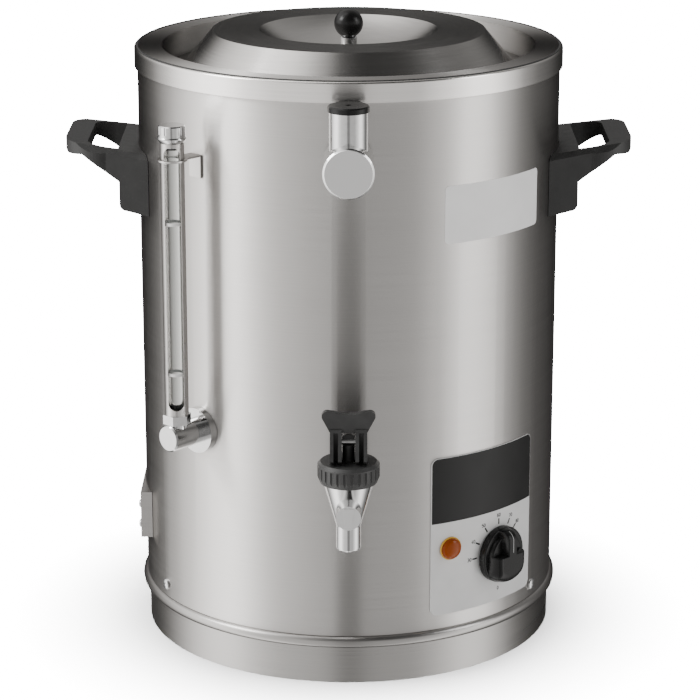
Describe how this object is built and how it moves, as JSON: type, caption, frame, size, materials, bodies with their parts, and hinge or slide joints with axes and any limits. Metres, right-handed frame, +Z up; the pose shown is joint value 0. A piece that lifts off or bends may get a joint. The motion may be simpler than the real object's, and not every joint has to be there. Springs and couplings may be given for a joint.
{
  "type": "milk dispenser",
  "caption": "Round stainless hot-milk urn with lift-off lid, self-closing tap, sight gauge, capped water filler, side handles, dial and lamp.",
  "frame": {"origin": "on the vessel's axis, at the plane that the urn stands on", "axes": "+Z up along the vessel's axis, -Y to the front with the tap, +X to the viewer's right"},
  "size_m": [0.4, 0.369, 0.4509],
  "materials": {
    "brushed_steel": "brushed round the vessel",
    "plain_steel": "satin",
    "screw_steel": "bright",
    "chrome": "polished",
    "brass": "satin",
    "heater_steel": "matt",
    "black_matte": "fine grain",
    "black_gloss": "glossy",
    "grey_plastic": "satin",
    "glass": "clear",
    "white_plastic": "satin",
    "seal_rubber": "matt",
    "panel_grey": "printed, satin",
    "amber": "clear amber"
  },
  "bodies": {
    "urn": {"base_pan": "brushed_steel", "outer_shell": "brushed_steel", "rim_ring": "brushed_steel", "milk_pot": "brushed_steel", "bottom_plate": "plain_steel", "water_tank": "plain_steel", "gauge_bracket": "plain_steel", "side_cover": "plain_steel", "gauge_sleeve": "plain_steel", "base_screws": "screw_steel", "handle_bolts": "screw_steel", "side_cover_screws": "screw_steel", "tap_spring": "screw_steel", "thermostat_nut": "screw_steel", "filler_stub": "chrome", "filler_tube": "chrome", "gauge_flange": "chrome", "gauge_elbow": "chrome", "gauge_nut": "chrome", "gauge_top_cap": "chrome", "tap_shank": "chrome", "tap_lock_nut": "chrome", "tap_flange": "chrome", "tap_back_nut": "chrome", "tap_body": "chrome", "element_nuts": "brass", "filler_nut": "brass", "gauge_lock_nut": "brass", "thermostat_bulb": "brass", "heating_element": "heater_steel", "handle_left": "black_matte", "handle_right": "black_matte", "cable_gland": "black_matte", "tap_collar": "grey_plastic", "gauge_glass": "glass", "gauge_level_rings": "white_plastic", "lamp_body": "white_plastic", "terminal_block": "white_plastic", "thermostat_body": "white_plastic", "pot_gasket": "seal_rubber", "filler_seal": "seal_rubber", "gauge_seals": "seal_rubber", "tap_wall_sleeve": "seal_rubber", "control_panel": "panel_grey", "lamp_lens": "amber"},
    "lid": {"lid": "brushed_steel", "lid_knob_stem": "screw_steel", "lid_knob_ball": "black_gloss", "lid_knob_screw": "screw_steel"},
    "filler_cap": {"filler_cap": "black_gloss"},
    "dial": {"thermostat_knob": "black_gloss", "thermostat_shaft": "screw_steel"},
    "tap_stem": {"tap_stem": "black_matte", "seat_cup": "white_plastic"},
    "tap_lever": {"tap_lever": "grey_plastic", "lever_pin": "screw_steel"}
  },
  "joints": [
    {"name": "lid_lift", "type": "slide", "parent": "urn", "child": "lid", "axis": [0, 0, 1], "range_m": [0, 0.12]},
    {"name": "filler_cap_lift", "type": "slide", "parent": "urn", "child": "filler_cap", "axis": [0, 0, 1], "range_m": [0, 0.04]},
    {"name": "dial_turn", "type": "hinge", "parent": "urn", "child": "dial", "pos_m": [0.10619, -0.10806, 0.0815], "axis": [0.7009, -0.7133, 0], "range_deg": [-50, 180]},
    {"name": "tap_stem_lift", "type": "slide", "parent": "urn", "child": "tap_stem", "axis": [0, 0, 1], "range_m": [0, 0.00349], "deforming": ["tap_spring"]},
    {"name": "tap_lever_tip", "type": "hinge", "parent": "tap_stem", "child": "tap_lever", "pos_m": [0, -0.185, 0.19], "axis": [1, 0, 0], "range_deg": [0, 40], "stiffness_Nm_per_rad": 0.01, "springref_deg": -57.3}
  ],
  "couplings": [
    {"joint": "tap_lever_tip", "follows": "tap_stem_lift", "rad_per_m": 200}
  ]
}
